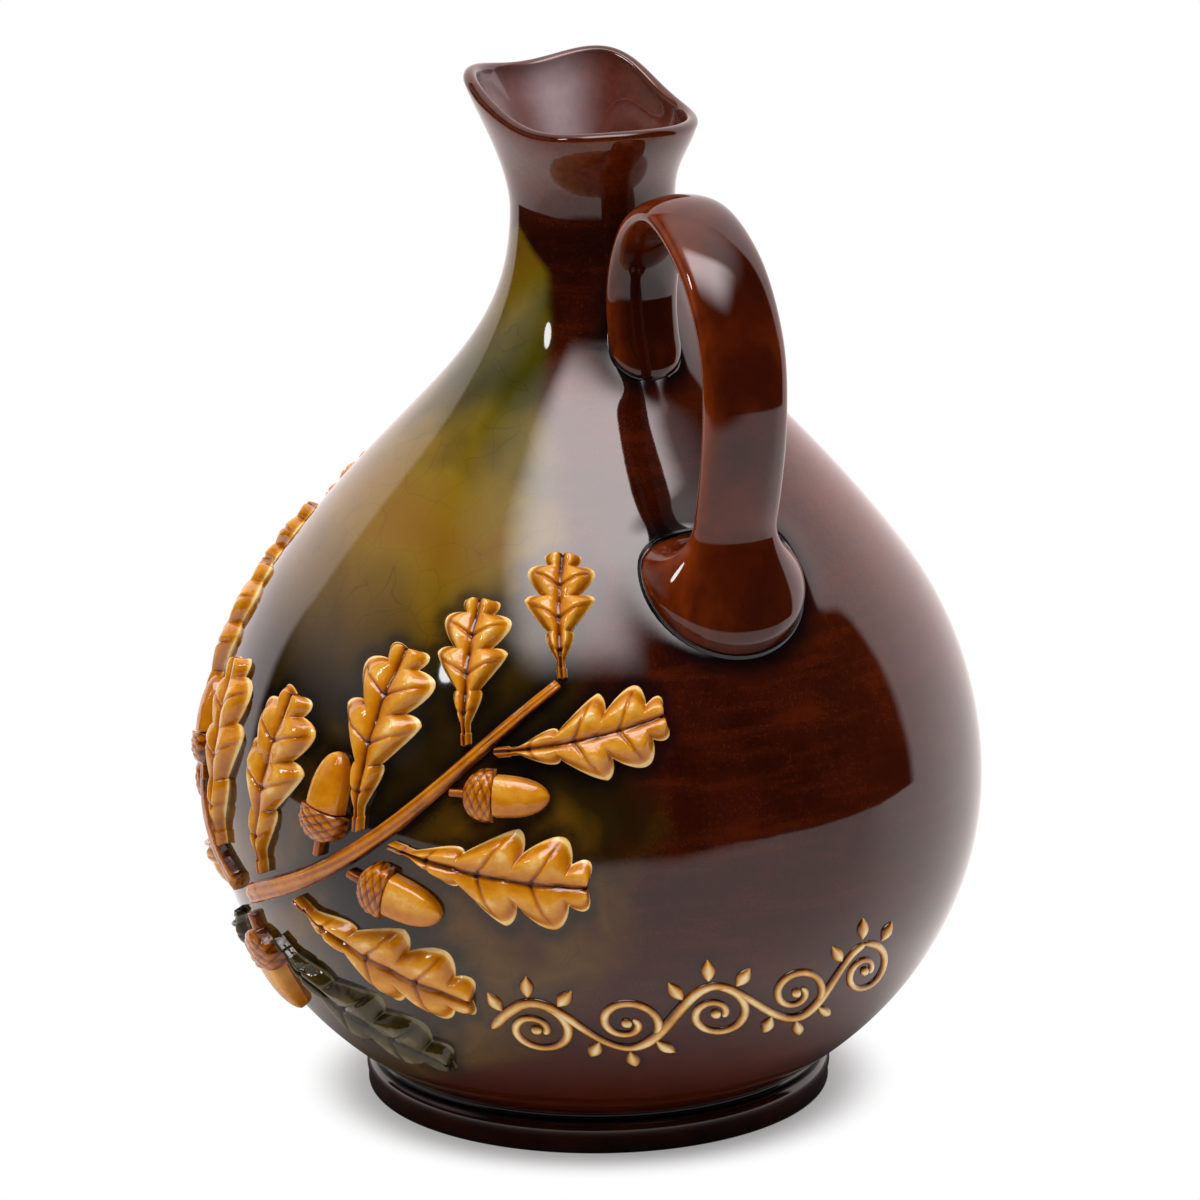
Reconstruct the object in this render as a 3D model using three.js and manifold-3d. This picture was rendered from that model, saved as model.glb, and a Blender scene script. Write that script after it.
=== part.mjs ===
// Handled stoneware spirit flask: a round belly on a low foot ring, a narrow neck with a lip pinched
// by hand, a strap handle luted to neck and shoulder, and an oak spray of coloured clay on its front.
// Millimetres, +Z up. The origin is the middle of the resting face, the handle points to +X and the
// spray faces -Y.
import * as THREE from "three";
import { mergeVertices } from "three/addons/utils/BufferGeometryUtils.js";
import Module from "manifold-3d";

// Belly: two quarter ellipses that meet at its widest height, then one curve up to the neck. The
// lower ellipse is cut off level at the seat, where the belly sits on the foot ring.
const bellyRadius = 70.5;
const bellyZ = 58.7;
const bellyHeightAbove = 69.6;
const seatRadius = 36.7;
const seatZ = 4.4;
const shoulderZ = 99.4;
const shoulderPull = 39.4;
const neckPull = 27;
const neckRadius = 14.8;
const neckZ = 164.2;

// Lip: a rounded rim on a flare. The pinch is waves round the rim, one, two, three and four to the
// turn, as shares of the rim's radius: it draws the rim in at one side, leaves soft corners and lifts
// the side away from the handle for pouring.
const lipRadius = 18.9;
const lipZ = 183.7;
const lipHalfWall = 1.25;
const flarePull = 9;
const lipOut = { cosine: [0.053, 0.058, 0.026, -0.005], sine: [-0.13, 0.048, 0, -0.019] };
const lipUp = { cosine: [-0.238, 0.019, 0.061, -0.013], sine: [-0.016, -0.005, 0.034, -0.026] };

// Walls
const bellyWall = 4.5;
const neckWall = 3.6;
const floorWall = 6;

// Foot ring
const footRadius = 42.6;
const footWidth = 5.6;
const footStraight = 2.6;
const footBead = 0.35;
const footRound = 0.7;
const footShoulderZ = 6.4;

// Strap handle
const handleReach = 59;
const handleTopZ = 169.3;
const handleArmZ = 141;
const handleLowZ = 107.7;
const handleHighZ = 137;
const strapWidth = 16;
const strapThickness = 6.6;
const strapRoot = 13.5;
const strapGap = 2;
const padWidth = 30;
const padHeight = 31;
const padDepth = 13;
const padFlare = 13;

// Oak spray: the branches start below the belly's widest height and stop short of the handle's pad,
// and the loose pieces hang below them
const sprayZ = 47;
const bareGirth = 20;
const acornDrop = 5;
const fallenDrop = 7;

// Sprigs: heights are above the belly wall, and the taper is the share of its width that a stem
// loses along its length
const leafRise = 2.6;
const leafEdge = 0.4;
const leafMidrib = 1.9;
const leafStalk = 2;
const leafSweep = 0.55;
const stemWidth = 4.2;
const stemTaper = 0.45;
const stemRise = 1.8;
const stemEdge = 0.5;
const acornEdge = 0.7;
const acornStalkRise = 1.3;
const cupRise = 3.6;
const nutRise = 3;
const nutTipRise = 0.6;
const sprigGap = 1;

// Clearance between pieces that the glaze joins
const joint = 0.3;

// Facets
const turnSteps = 48;
const strapSides = 14;
const strapRows = 24;
const padRows = 11;
const leafRows = 18;
const stemRows = 12;
const cupRows = 8;
const nutRows = 7;
const sprigColumns = 4;

const wasm = await Module();
wasm.setup();

const glaze = (colour) => new THREE.MeshStandardMaterial({ color: colour, roughness: 0.12, metalness: 0 });
const treacle = glaze("#3d1206");
const golden = glaze("#c07a1e");
const umber = glaze("#3a3418");

const flask = new THREE.Group();

function addMesh(name, geometry, material) {
  const mesh = new THREE.Mesh(geometry, material);
  mesh.name = name;
  flask.add(mesh);
}

// Turned outlines, as points of radius and height

const bellyDepthBelow = (bellyZ - seatZ) / Math.sqrt(1 - (seatRadius / bellyRadius) ** 2);
const pointOnEllipse = (angle, depth) =>
  new THREE.Vector2(bellyRadius * Math.cos(angle), bellyZ + depth * Math.sin(angle));
const seatAngle = Math.asin((seatZ - bellyZ) / bellyDepthBelow);
const shoulderAngle = Math.asin((shoulderZ - bellyZ) / bellyHeightAbove);
const shoulder = pointOnEllipse(shoulderAngle, bellyHeightAbove);
const shoulderTangent = new THREE.Vector2(
  -bellyRadius * Math.sin(shoulderAngle),
  bellyHeightAbove * Math.cos(shoulderAngle),
).normalize();
const neckWaist = new THREE.Vector2(neckRadius, neckZ);
const neckCurve = new THREE.CubicBezierCurve(
  shoulder,
  shoulder.clone().addScaledVector(shoulderTangent, shoulderPull),
  new THREE.Vector2(neckRadius, neckZ - neckPull),
  neckWaist,
);
const lipEdge = new THREE.Vector2(lipRadius + lipHalfWall, lipZ);
const flareCurve = new THREE.CubicBezierCurve(
  neckWaist,
  new THREE.Vector2(neckRadius, neckZ + flarePull),
  new THREE.Vector2(lipEdge.x - lipHalfWall, lipZ - flarePull / 2),
  lipEdge,
);

// Points of the outside from the seat on the foot ring up to the neck's waist
function outlinePoints(belowRows, aboveRows, neckRows) {
  const points = [];
  for (let i = 0; i < belowRows; i++)
    points.push(pointOnEllipse(seatAngle * (1 - i / belowRows), bellyDepthBelow));
  for (let i = 0; i < aboveRows; i++)
    points.push(pointOnEllipse((shoulderAngle * i) / aboveRows, bellyHeightAbove));
  return points.concat(neckCurve.getPoints(neckRows));
}

// The same points moved along their normals, outwards where the distance is positive
function offsetOutline(points, distanceAt) {
  return points.map((point, i) => {
    const before = points[Math.max(i - 1, 0)];
    const after = points[Math.min(i + 1, points.length - 1)];
    const along = after.clone().sub(before).normalize();
    return point.clone().add(new THREE.Vector2(along.y, -along.x).multiplyScalar(distanceAt(point)));
  });
}

const outline = outlinePoints(9, 5, 9);
const flare = flareCurve.getPoints(4).slice(1);

// A profile turned about the Z axis
function turned(profile) {
  const geometry = new THREE.LatheGeometry(profile, turnSteps);
  geometry.rotateX(Math.PI / 2);
  return geometry;
}

const waves = ({ cosine, sine }, angle) =>
  cosine.reduce((sum, share, i) => sum + share * lipRadius * Math.cos((i + 1) * angle), 0) +
  sine.reduce((sum, share, i) => sum + share * lipRadius * Math.sin((i + 1) * angle), 0);

// The potter's pinch: it grows from nothing at the neck's waist to its full size at the rim
function pinched(geometry) {
  const position = geometry.getAttribute("position");
  for (let i = 0; i < position.count; i++) {
    const z = position.getZ(i);
    const radius = Math.hypot(position.getX(i), position.getY(i));
    const grown = THREE.MathUtils.smoothstep(z, neckZ, lipZ);
    if (grown === 0 || radius === 0) continue;
    const angle = Math.atan2(position.getY(i), position.getX(i));
    const scale = (radius + grown * waves(lipOut, angle)) / radius;
    const lift = grown * waves(lipUp, angle);
    position.setXYZ(i, position.getX(i) * scale, position.getY(i) * scale, z + lift);
  }
  return geometry;
}

// Body: outside, rounded rim, inside and floor in one turned wall
function bodyProfile() {
  const outside = outline.concat(flare);
  const wallAt = (point) =>
    -THREE.MathUtils.lerp(bellyWall, neckWall, THREE.MathUtils.smoothstep(point.y, shoulderZ, neckZ));
  const inside = offsetOutline(outline, wallAt).filter((point) => point.y > seatZ + floorWall);
  const throat = new THREE.CubicBezierCurve(
    new THREE.Vector2(neckRadius - neckWall, neckZ),
    new THREE.Vector2(neckRadius - neckWall, neckZ + flarePull),
    new THREE.Vector2(lipRadius - 2 * lipHalfWall, lipZ - flarePull / 2),
    new THREE.Vector2(lipRadius - lipHalfWall, lipZ),
  ).getPoints(4);
  const rim = [];
  for (const angle of [45, 90, 135])
    rim.push(
      new THREE.Vector2(
        lipRadius + lipHalfWall * Math.cos(THREE.MathUtils.degToRad(angle)),
        lipZ + lipHalfWall * Math.sin(THREE.MathUtils.degToRad(angle)),
      ),
    );
  const floorEdge = new THREE.Vector2(inside[0].x - bellyWall, seatZ + floorWall);
  return [
    new THREE.Vector2(0, seatZ),
    ...outside,
    ...rim,
    ...throat.reverse(),
    ...inside.slice(0, -1).reverse(),
    floorEdge,
    new THREE.Vector2(0, seatZ + floorWall),
  ];
}

addMesh("flask_body", pinched(turned(bodyProfile())), treacle);

// Foot ring: its top is hollowed to the belly's curve, and a bead rounds its upper edge
const bellyRadiusBelow = (z) => bellyRadius * Math.sqrt(1 - ((bellyZ - z) / bellyDepthBelow) ** 2);
const bellyUnderside = (radius) => bellyZ - bellyDepthBelow * Math.sqrt(1 - (radius / bellyRadius) ** 2);

function footProfile() {
  const bore = footRadius - footWidth;
  const shoulderRadius = bellyRadiusBelow(footShoulderZ);
  const seat = [];
  for (const share of [1, 0.66, 0.33, 0]) {
    const radius = THREE.MathUtils.lerp(bore, shoulderRadius, share);
    seat.push(new THREE.Vector2(radius + joint / 2, bellyUnderside(radius) - joint));
  }
  seat[seat.length - 1].x = bore;
  const bead = new THREE.CubicBezierCurve(
    new THREE.Vector2(footRadius, footStraight),
    new THREE.Vector2(footRadius + 2 * footBead, (footStraight + footShoulderZ) / 2),
    new THREE.Vector2(footRadius, seat[0].y + footBead),
    seat[0],
  ).getPoints(5);
  return [
    new THREE.Vector2(bore, footRound),
    new THREE.Vector2(bore + footRound, 0),
    new THREE.Vector2(footRadius - footRound, 0),
    new THREE.Vector2(footRadius, footRound),
    ...bead,
    ...seat.slice(1),
    new THREE.Vector2(bore, footRound),
  ];
}

addMesh("foot_ring", turned(footProfile()), treacle);

// Rings of equal size joined into one closed skin, with a fan over each end
function loft(rings) {
  const size = rings[0].length;
  const middle = (ring) =>
    ring.reduce((sum, point) => sum.add(point), new THREE.Vector3()).divideScalar(size);
  const points = [...rings.flat(), middle(rings[0]), middle(rings[rings.length - 1])];
  const first = points.length - 2;
  const last = points.length - 1;
  const index = [];
  for (let j = 0; j < size; j++) {
    const k = (j + 1) % size;
    const end = (rings.length - 1) * size;
    index.push(first, k, j, last, end + j, end + k);
    for (let i = 0; i < rings.length - 1; i++) {
      const a = i * size;
      const b = a + size;
      index.push(a + j, a + k, b + k, a + j, b + k, b + j);
    }
  }
  const geometry = new THREE.BufferGeometry().setFromPoints(points);
  geometry.setIndex(index);
  return geometry;
}

function toSolid(geometry) {
  const bare = geometry.clone();
  bare.deleteAttribute("normal");
  bare.deleteAttribute("uv");
  const merged = mergeVertices(bare, 1e-4);
  return new wasm.Manifold(
    new wasm.Mesh({
      numProp: 3,
      vertProperties: new Float32Array(merged.getAttribute("position").array),
      triVerts: new Uint32Array(merged.index.array),
    }),
  );
}

function toGeometry(solid) {
  const mesh = solid.getMesh();
  const geometry = new THREE.BufferGeometry();
  geometry.setAttribute("position", new THREE.BufferAttribute(mesh.vertProperties, 3));
  geometry.setIndex(new THREE.BufferAttribute(mesh.triVerts, 1));
  geometry.computeVertexNormals();
  return geometry;
}

// The whole of the belly, neck and flare, one joint's clearance larger, for cutting what is luted
// to them
function clearanceSolid() {
  const skin = offsetOutline(outline.concat(flare), () => joint);
  const low = new THREE.Vector2(0, skin[0].y);
  const high = new THREE.Vector2(0, skin[skin.length - 1].y);
  return toSolid(pinched(turned([low, ...skin, high])));
}

const radiusAt = (z) => {
  const i = Math.max(1, outline.findIndex((point) => point.y >= z));
  const share = (z - outline[i - 1].y) / (outline[i].y - outline[i - 1].y);
  return THREE.MathUtils.lerp(outline[i - 1].x, outline[i].x, share);
};

// Strap handle: an oval strap that starts as a thumbed end on the neck, arches over, and spreads
// into a round pad on the shoulder
function handleSolid() {
  const rise = neckRadius + strapGap + strapThickness / 2;
  const padRadius = radiusAt(handleLowZ);
  const across = (share) => THREE.MathUtils.lerp(rise, handleReach, share);
  const climb = (share) => THREE.MathUtils.lerp(handleHighZ, handleTopZ, share);
  const fall = (share) => THREE.MathUtils.lerp(handleTopZ, handleArmZ, share);
  const land = (share) => THREE.MathUtils.lerp(handleArmZ, handleLowZ, share);
  const thick = (share) => strapThickness * share;
  const line = new THREE.CatmullRomCurve3(
    [
      [radiusAt(climb(0)) - thick(0.09), climb(0)],
      [radiusAt(climb(0.25)) + thick(0.15), climb(0.25)],
      [rise - thick(0.03), climb(0.56)],
      [across(0.16), climb(0.89)],
      [across(0.42), climb(1)],
      [across(0.76), fall(0.23)],
      [across(0.965), fall(0.66)],
      [across(1), fall(1.1)],
      [across(1) - thick(0.4), land(0.57)],
      [padRadius + thick(0.36), land(0.85)],
      [padRadius - thick(0.53), land(1.1)],
      [padRadius - thick(1.5), land(1.27)],
    ].map(([x, z]) => new THREE.Vector3(x, 0, z)),
  );
  const total = line.getLength();
  const padRun = total - padDepth;
  const runs = [0, 0.1, 0.35, 0.7].map((share) => (share * strapRoot) / 2);
  for (let i = 0; i <= strapRows; i++)
    runs.push(THREE.MathUtils.lerp(strapRoot / 2, padRun - padFlare, i / strapRows));
  for (let i = 1; i <= padRows; i++)
    runs.push(THREE.MathUtils.lerp(padRun - padFlare, total, i / padRows));
  const rings = [];
  for (const run of runs) {
    const centre = line.getPointAt(run / total);
    const along = line.getTangentAt(run / total);
    const outward = new THREE.Vector3(along.z, 0, -along.x);
    const root = Math.sqrt(1 - (1 - Math.min(1, run / (strapRoot / 2) + 0.03)) ** 2);
    const spread = THREE.MathUtils.smoothstep(run, padRun - padFlare, padRun) ** 1.6;
    const swell = THREE.MathUtils.smoothstep(run, padRun - 0.7 * padFlare, padRun + 0.08 * padFlare) ** 1.6;
    const widening = THREE.MathUtils.smoothstep(run, 0.17 * handleReach, handleReach);
    const strap = THREE.MathUtils.lerp(strapRoot, strapWidth, widening);
    const halfWidth = (root * THREE.MathUtils.lerp(strap, padWidth, spread)) / 2;
    const halfInner = (root * THREE.MathUtils.lerp(strapThickness, padHeight, spread)) / 2;
    const halfOuter = (root * THREE.MathUtils.lerp(strapThickness, padHeight, swell)) / 2;
    const ring = [];
    for (let j = 0; j < strapSides; j++) {
      const angle = (2 * Math.PI * j) / strapSides;
      ring.push(
        centre
          .clone()
          .addScaledVector(outward, (Math.cos(angle) > 0 ? halfOuter : halfInner) * Math.cos(angle))
          .add(new THREE.Vector3(0, halfWidth * Math.sin(angle), 0)),
      );
    }
    rings.push(ring);
  }
  return toSolid(loft(rings)).subtract(clearanceSolid());
}

addMesh("handle", toGeometry(handleSolid()), treacle);

// The belly as a surface to lay clay on: a place is an angle round the axis and a length up the
// outline from the seat, and lift is the height above the wall
const meridian = outlinePoints(60, 36, 60);
const lengths = meridian.map(() => 0);
for (let i = 1; i < meridian.length; i++)
  lengths[i] = lengths[i - 1] + meridian[i].distanceTo(meridian[i - 1]);
const lengthAt = (z) => {
  const i = Math.max(1, meridian.findIndex((point) => point.y >= z));
  const share = (z - meridian[i - 1].y) / (meridian[i].y - meridian[i - 1].y);
  return THREE.MathUtils.lerp(lengths[i - 1], lengths[i], share);
};

function onBelly(angle, length, lift) {
  const i = Math.max(1, lengths.findIndex((value) => value >= length));
  const share = (length - lengths[i - 1]) / (lengths[i] - lengths[i - 1]);
  const point = meridian[i - 1].clone().lerp(meridian[i], share);
  const along = meridian[i].clone().sub(meridian[i - 1]).normalize();
  const radius = point.x + lift * along.y;
  return new THREE.Vector3(
    radius * Math.cos(angle),
    radius * Math.sin(angle),
    point.y - lift * along.x,
  );
}

// A place on the belly with a heading, turned anticlockwise from the direction round the belly
const place = (degrees, z, heading) => ({
  angle: THREE.MathUtils.degToRad(degrees),
  length: lengthAt(z),
  heading: THREE.MathUtils.degToRad(heading),
});

// The place reached from another by going ahead and to the left of its heading
function moved(from, ahead, left, turn = 0) {
  const east = ahead * Math.cos(from.heading) - left * Math.sin(from.heading);
  const north = ahead * Math.sin(from.heading) + left * Math.cos(from.heading);
  const length = from.length + north;
  const i = Math.max(1, lengths.findIndex((value) => value >= length));
  return {
    angle: from.angle + east / meridian[i].x,
    length,
    heading: from.heading + THREE.MathUtils.degToRad(turn),
  };
}

// A sprig pressed onto the belly: rows across a line, each with a crowned face and a back that
// follows the wall and clears its bulge. line(t) is [ahead, left], half(t) the half width, rise(t, v)
// the height at the share v of it, and sweep moves the edges ahead of the middle.
function sprig(name, start, rows, { line, half, rise, sweep = 0 }, material) {
  const rings = [];
  for (let i = 0; i <= rows; i++) {
    const t = i / rows;
    const [ahead, left] = line(t);
    const [nextAhead, nextLeft] = line(Math.min(1, t + 0.01));
    const [lastAhead, lastLeft] = line(Math.min(1, t + 0.01) - 0.01);
    const run = new THREE.Vector2(nextAhead - lastAhead, nextLeft - lastLeft).normalize();
    const at = (v, lift) => {
      const side = v * half(t);
      const forward = sweep * Math.abs(side);
      const spot = moved(
        start,
        ahead + run.x * forward - run.y * side,
        left + run.y * forward + run.x * side,
      );
      return onBelly(spot.angle, spot.length, joint + lift);
    };
    const bulge = half(t) ** 2 / (6 * bellyRadius);
    const ring = [at(-1, 0), at(0, bulge), at(1, 0)];
    for (let j = 0; j <= sprigColumns; j++) {
      const v = 1 - (2 * j) / sprigColumns;
      ring.push(at(v, rise(t, v)));
    }
    rings.push(ring);
  }
  addMesh(name, loft(rings), material);
}

// Oak leaf: round lobes with narrow bays, widest past the middle, a furrow along the midrib
function leaf(name, start, length, width, bend, material) {
  const stalk = 0.08;
  const lobes = 3.5;
  sprig(
    name,
    start,
    leafRows,
    {
      line: (t) => [length * t, bend * t * t],
      half: (t) => {
        if (t < stalk) return leafStalk / 2;
        const u = (t - stalk) / (1 - stalk);
        const envelope = Math.min(1, 2.2 * u) * Math.sqrt(Math.max(0, 1 - u ** 3)) * (0.72 + 0.4 * u);
        const lobe = 0.52 + 0.48 * Math.abs(Math.sin(Math.PI * lobes * u)) ** 0.7;
        return Math.max(0.4 * leafStalk, (width / 2) * envelope * lobe);
      },
      rise: (t, v) => {
        const crown = Math.abs(v) === 1 ? leafEdge : v === 0 ? leafMidrib : leafRise;
        return crown * (0.75 + 0.25 * Math.sin(Math.PI * t));
      },
      sweep: leafSweep,
    },
    material,
  );
}

// Stem: a tapering round rod half sunk in the wall
const stemHalf = (t) => (stemWidth / 2) * (1 - stemTaper * t);
const stemLine = (length, bend) => (t) => [length * t, bend * Math.sin(Math.PI * t)];

function stem(name, start, length, bend, material) {
  sprig(
    name,
    start,
    stemRows,
    {
      line: stemLine(length, bend),
      half: stemHalf,
      rise: (t, v) => (Math.abs(v) === 1 ? stemEdge : stemRise * (1 - 0.35 * t) * (1 - 0.3 * v * v)),
    },
    material,
  );
}

// Acorn: a smooth nut in a fatter cup on a short stalk, both half round and set end to end
function acorn(name, start, size) {
  const stalk = 0.2 * size;
  const cupLength = stalk + 0.42 * size;
  const nutLength = 0.75 * size;
  const dome = (t) => Math.sqrt(Math.max(0, 1 - t * t));
  sprig(
    `${name}_cup`,
    start,
    cupRows,
    {
      line: (t) => [cupLength * t, 0],
      half: (t) => {
        const u = (t * cupLength - stalk) / (cupLength - stalk);
        return u <= 0 ? 0.06 * size : size * Math.max(0.06, 0.385 * dome(1 - Math.min(1, 1.5 * u)));
      },
      rise: (t, v) => {
        const u = (t * cupLength - stalk) / (cupLength - stalk);
        const full = u <= 0 ? 0 : dome(1 - Math.min(1, 1.5 * u));
        const crown = THREE.MathUtils.lerp(acornStalkRise, cupRise, full);
        return Math.abs(v) === 1 ? acornEdge : crown * (1 - 0.35 * v * v);
      },
    },
    golden,
  );
  sprig(
    `${name}_nut`,
    moved(start, cupLength + joint, 0),
    nutRows,
    {
      line: (t) => [nutLength * t, 0],
      half: (t) => 0.31 * size * Math.max(0.15, dome(0.08 + 0.92 * t ** 1.4)),
      rise: (t, v) => {
        const crown = THREE.MathUtils.lerp(nutTipRise, nutRise, dome(t ** 1.4));
        return Math.abs(v) === 1 ? acornEdge : crown * (1 - 0.35 * v * v);
      },
    },
    golden,
  );
}

// One branch: a stem, with leaves and acorns along it. Hand is 1 for a branch that turns to its left
// and -1 for its mirror image; side is 1 on the branch's inner side. Places and sizes in its lists
// are shares of the branch's length, and turns are in degrees.
const quarterGirth = (Math.PI / 2) * bellyRadius;
const branchLength = quarterGirth - padWidth / 2 - bareGirth;
const branchBend = -0.1;
const branchLeaves = [
  { along: 0.1, side: 1, turn: 66, length: 0.44, width: 0.3, bend: -0.04 },
  { along: 0.18, side: -1, turn: -51, length: 0.48, width: 0.295, bend: 0.04 },
  { along: 0.47, side: 1, turn: 52, length: 0.43, width: 0.28, bend: -0.04 },
  { along: 0.53, side: -1, turn: -53, length: 0.47, width: 0.3, bend: 0.04 },
  { along: 0.79, side: 1, turn: 46, length: 0.34, width: 0.22, bend: -0.03 },
  { along: 0.84, side: -1, turn: -48, length: 0.38, width: 0.26, bend: 0.04 },
  { along: 1.01, side: 0, turn: 42, length: 0.3, width: 0.21, bend: -0.03 },
];
const branchAcorns = [
  { along: 0.33, side: 1, turn: 50, size: 0.18 },
  { along: 0.39, side: -1, turn: -49, size: 0.18 },
  { along: 0.72, side: -1, turn: -50, size: 0.165 },
];

function branch(name, start, hand) {
  stem(name, start, branchLength, hand * branchBend * branchLength, golden);
  const onStem = ({ along, side, turn }) => {
    const slope = THREE.MathUtils.radToDeg(Math.atan(Math.PI * branchBend * Math.cos(Math.PI * along)));
    const beside = side * (stemHalf(Math.min(1, along)) + sprigGap);
    const [ahead, left] = stemLine(branchLength, branchBend * branchLength)(along);
    return moved(start, ahead, hand * (left + beside), hand * (slope + turn));
  };
  branchLeaves.forEach((spot, i) => {
    const [length, width, bend] = [spot.length, spot.width, hand * spot.bend].map((x) => x * branchLength);
    leaf(`${name}_leaf_${i + 1}`, onStem(spot), length, width, bend, golden);
  });
  branchAcorns.forEach((spot, i) =>
    acorn(`${name}_acorn_${i + 1}`, onStem(spot), spot.size * branchLength),
  );
}

branch("right_branch", place(-87, sprayZ, 39), 1);
branch("left_branch", place(-93, sprayZ, 141), -1);
acorn("middle_acorn", place(-90, sprayZ - acornDrop, -90), 0.2 * branchLength);

// The two loose leaves are as long as the branches' longest
function fallenLeaf(name, degrees, heading, hand) {
  const start = place(degrees, sprayZ - fallenDrop, heading);
  leaf(name, start, 0.48 * branchLength, 0.3 * branchLength, hand * 0.05 * branchLength, umber);
}
fallenLeaf("fallen_leaf_1", -83, -41, 1);
fallenLeaf("fallen_leaf_2", -97, 221, -1);

export default flask;
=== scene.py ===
import bpy
import numpy as np
from mathutils import Matrix


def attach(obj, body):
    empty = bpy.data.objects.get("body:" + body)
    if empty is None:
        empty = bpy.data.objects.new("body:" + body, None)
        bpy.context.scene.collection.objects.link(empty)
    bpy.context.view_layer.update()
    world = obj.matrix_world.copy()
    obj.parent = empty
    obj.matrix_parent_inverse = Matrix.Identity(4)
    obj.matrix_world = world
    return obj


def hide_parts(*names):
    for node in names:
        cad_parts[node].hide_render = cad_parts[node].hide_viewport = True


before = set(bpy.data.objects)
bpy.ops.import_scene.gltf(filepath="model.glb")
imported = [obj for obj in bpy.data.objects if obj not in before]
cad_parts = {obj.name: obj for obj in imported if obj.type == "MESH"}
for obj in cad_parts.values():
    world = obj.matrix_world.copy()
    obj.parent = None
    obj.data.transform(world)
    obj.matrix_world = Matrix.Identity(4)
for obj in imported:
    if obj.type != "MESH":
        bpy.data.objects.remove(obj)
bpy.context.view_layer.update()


# BODY. One stoneware wall from the seat on the foot ring to the lip, thrown round and fired under a
# treacle-brown lead glaze. The rim was pinched by hand while soft, so it is drawn in at one side,
# has soft corners and stands highest on the pouring side, away from the handle.
mm = 0.001
belly_radius, belly_z, belly_height = 70.5 * mm, 58.7 * mm, 69.6 * mm
seat_radius, seat_z = 36.7 * mm, 4.4 * mm
belly_depth = (belly_z - seat_z) / np.sqrt(1 - (seat_radius / belly_radius) ** 2)
shoulder_z, shoulder_pull = 99.4 * mm, 39.4 * mm
neck_radius, neck_z, neck_pull = 14.8 * mm, 164.2 * mm, 27 * mm
lip_radius, lip_z, lip_half_wall, flare_pull = 18.9 * mm, 183.7 * mm, 1.25 * mm, 9 * mm
belly_wall, neck_wall, floor_wall = 4.5 * mm, 3.6 * mm, 6 * mm
lip_out = ((0.053, 0.058, 0.026, -0.005), (-0.13, 0.048, 0, -0.019))
lip_up = ((-0.238, 0.019, 0.061, -0.013), (-0.016, -0.005, 0.034, -0.026))


def bezier(controls, count):
    """A cubic curve: its four controls weighted by (1-t)^3, 3t(1-t)^2, 3t^2(1-t) and t^3."""
    t = np.linspace(0, 1, count)[:, None]
    a, b, c, d = (np.asarray(point, float) for point in controls)
    return a * (1 - t) ** 3 + 3 * b * t * (1 - t) ** 2 + 3 * c * t * t * (1 - t) + d * t**3


def smooth(value, low, high):
    """The even step 3s^2 - 2s^3 of the share s of the way from low to high."""
    share = np.clip((value - low) / (high - low), 0, 1)
    return share * share * (3 - 2 * share)


def bell(distance, width):
    """A bell's share of its height at a distance from its middle: e to minus (distance / width)^2."""
    return np.exp(-((distance / width) ** 2))


def unit(vectors):
    """Directions: vectors divided by their lengths."""
    return vectors / np.linalg.norm(vectors, axis=-1)[..., None]


def offset(points, distance):
    """A profile moved along its normals, which are its tangents turned a quarter to the right."""
    along = unit(np.gradient(points, axis=0))
    return points + np.column_stack((along[:, 1], -along[:, 0])) * np.asarray(distance)[..., None]


def ellipse(angle, depth):
    """Points of the belly's section at angles above its widest height."""
    return np.column_stack((belly_radius * np.cos(angle), belly_z + depth * np.sin(angle)))


seat_angle = np.arcsin((seat_z - belly_z) / belly_depth)
shoulder_angle = np.arcsin((shoulder_z - belly_z) / belly_height)
shoulder = ellipse(np.array([shoulder_angle]), belly_height)[0]
slope = unit(np.array((-belly_radius * np.sin(shoulder_angle), belly_height * np.cos(shoulder_angle))))
waist = np.array((neck_radius, neck_z))
outline = np.vstack((
    ellipse(np.linspace(seat_angle, 0, 66)[:-1], belly_depth),
    ellipse(np.linspace(0, shoulder_angle, 40)[:-1], belly_height),
    bezier((shoulder, shoulder + slope * shoulder_pull, waist - (0, neck_pull), waist), 80),
))
flare = bezier((
    waist,
    waist + (0, flare_pull),
    (lip_radius, lip_z - flare_pull / 2),
    (lip_radius + lip_half_wall, lip_z),
), 22)[1:]
turn = np.linspace(0, np.pi, 10)[1:-1]
rim = np.column_stack((lip_radius + lip_half_wall * np.cos(turn), lip_z + lip_half_wall * np.sin(turn)))
throat = bezier((
    (lip_radius - lip_half_wall, lip_z),
    (lip_radius - 2 * lip_half_wall, lip_z - flare_pull / 2),
    waist + (-neck_wall, flare_pull),
    waist - (neck_wall, 0),
), 18)
wall = belly_wall + (neck_wall - belly_wall) * smooth(outline[:, 1], shoulder_z, neck_z)
inside = offset(outline, -wall)[::-1][3::3]
inside = inside[inside[:, 1] > seat_z + floor_wall]
floor = [(inside[-1, 0] - step, seat_z + floor_wall) for step in (3 * mm, 6 * mm, 20 * mm)]
under = [(outline[0, 0] * share, seat_z) for share in (0.2, 0.7, 0.95)]
body_profile = np.vstack((under, outline, flare, rim, throat, inside, floor))


def turned(profile, steps):
    """Rings of a profile of radius and height turned round the Z axis."""
    angle = np.linspace(0, 2 * np.pi, steps, endpoint=False)
    radius, height = profile[:, :1], profile[:, 1:]
    return np.stack((radius * np.cos(angle), radius * np.sin(angle), height + 0 * angle), -1)


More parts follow.
